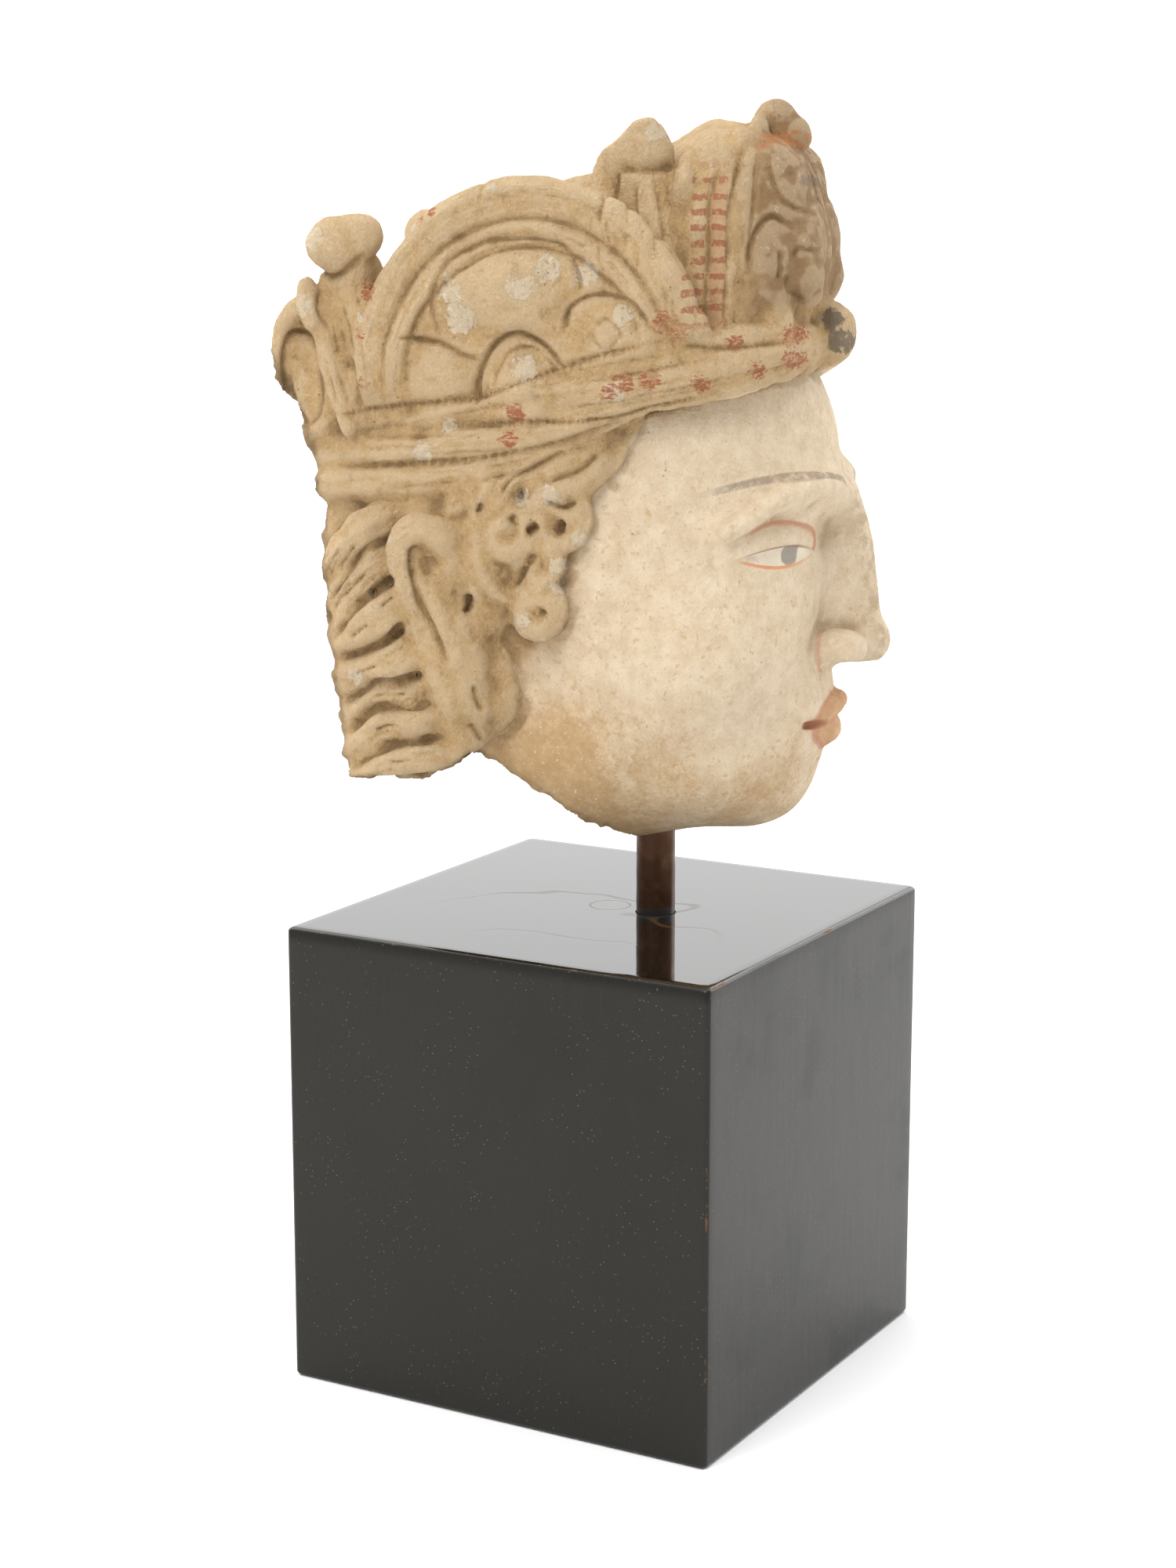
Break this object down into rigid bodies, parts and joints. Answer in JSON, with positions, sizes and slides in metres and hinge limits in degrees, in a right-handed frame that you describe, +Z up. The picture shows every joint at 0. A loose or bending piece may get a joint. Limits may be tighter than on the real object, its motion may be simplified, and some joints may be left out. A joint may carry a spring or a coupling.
{
  "type": "bodhisattva head on a stand",
  "caption": "Broken-off painted stucco head with turban, curls and long ear, held up by a round metal rod in a black lacquered wooden cube.",
  "frame": {"origin": "middle of the block's underside", "axes": "+Z up, -Y out of the block's front face, +X to the right seen from the front; the head's face is turned 18 degrees from -Y towards +X"},
  "size_m": [0.1681, 0.1949, 0.4125],
  "materials": {
    "stucco": "matte, worn lime slip with ochre dust",
    "browned_steel": "dark brown patina, satin",
    "black_lacquer": "black lacquer, glossy on top and satin on the sides"
  },
  "bodies": {
    "root": {"head": "stucco", "rod": "browned_steel", "block": "black_lacquer"}
  },
  "joints": []
}
